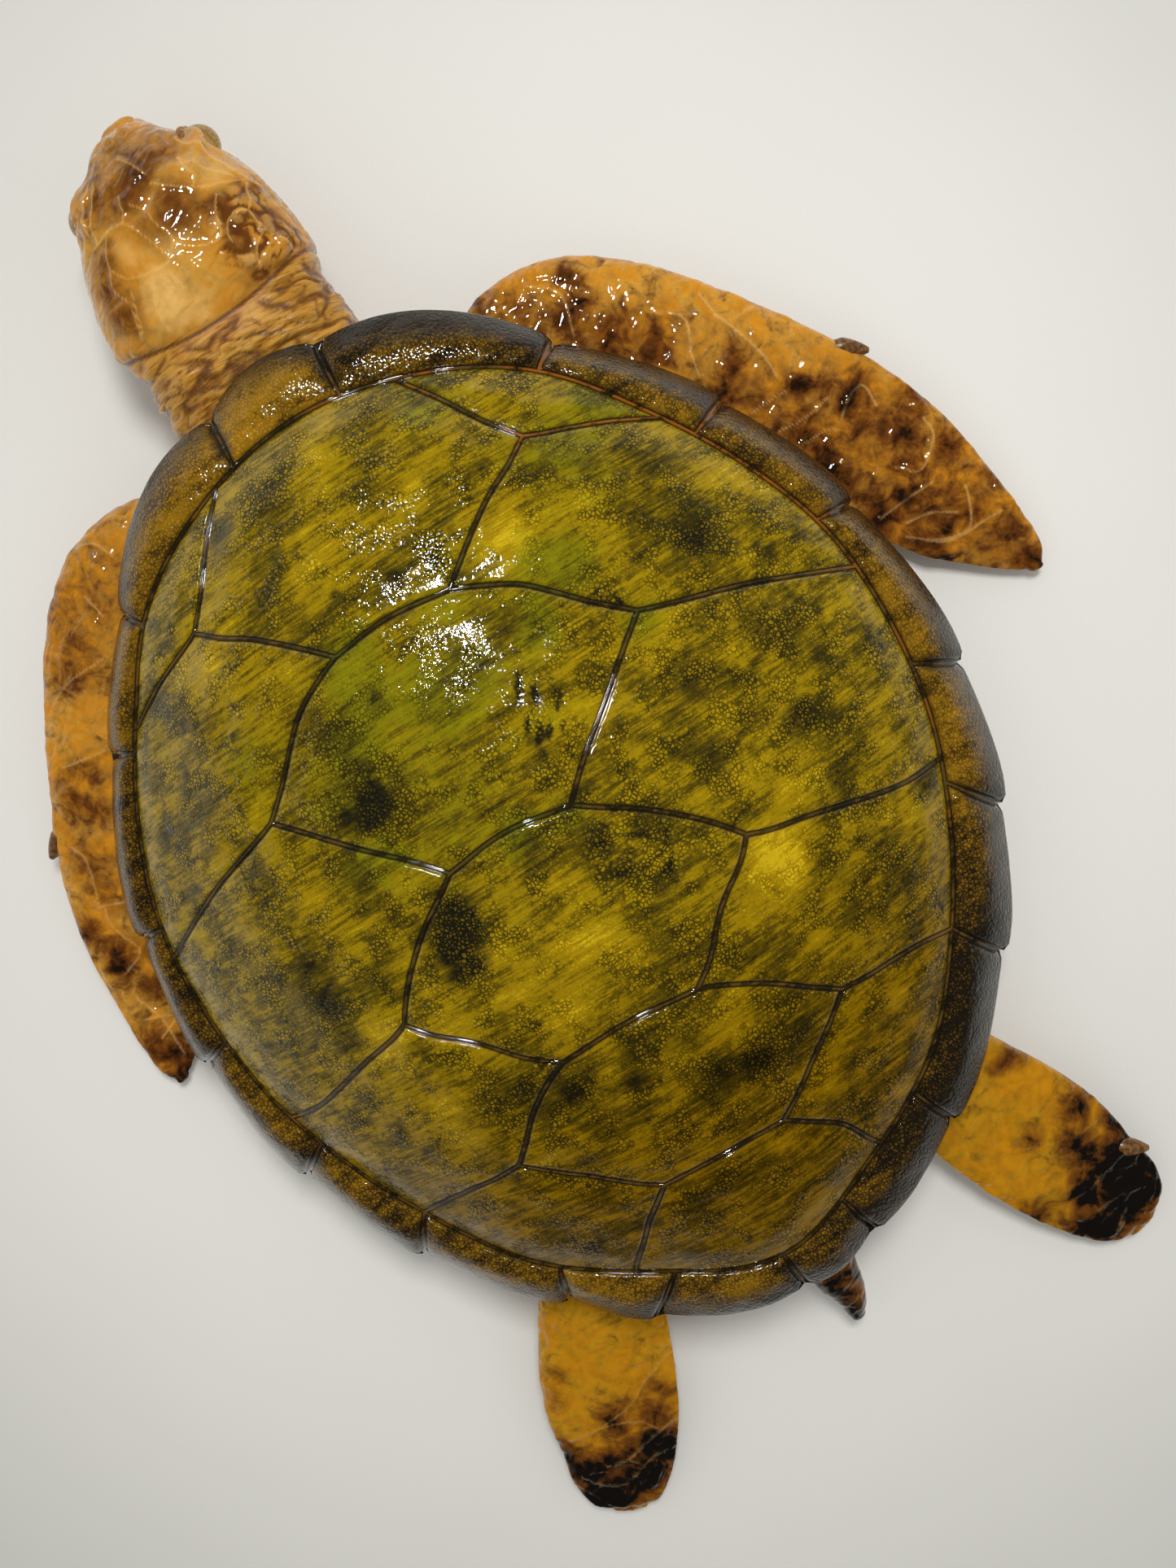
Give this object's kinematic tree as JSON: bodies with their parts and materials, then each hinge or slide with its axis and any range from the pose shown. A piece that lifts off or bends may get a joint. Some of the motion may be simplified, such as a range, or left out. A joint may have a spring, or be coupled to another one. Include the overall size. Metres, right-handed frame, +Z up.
{
  "type": "mounted sea turtle figure",
  "caption": "Varnished sea turtle mount with a domed scute shell, head, glass eyes, paired flippers, tail and a flat belly plate to rest on.",
  "frame": {"origin": "on the surface the turtle rests on, below the middle of its bounding box", "axes": "+Y towards the beak, +X the turtle's right side, +Z up"},
  "size_m": [0.5296, 0.738, 0.1611],
  "materials": {
    "shell": "varnished horn scutes, olive gold with dark smoky patches, fine pebbled grain, high gloss",
    "belly_plate": "varnished pale yellow horn plates with dark seams",
    "skin": "varnished leathery skin, honey amber with brown patches and pale scale edges",
    "eye_glass": "polished olive brown glass eye"
  },
  "bodies": {
    "root": {"carapace": "shell", "plastron": "belly_plate", "head_and_neck": "skin", "left_eye": "eye_glass", "right_eye": "eye_glass", "front_flipper_left": "skin", "front_flipper_right": "skin", "hind_flipper_left": "skin", "hind_flipper_right": "skin", "tail": "skin"}
  },
  "joints": []
}
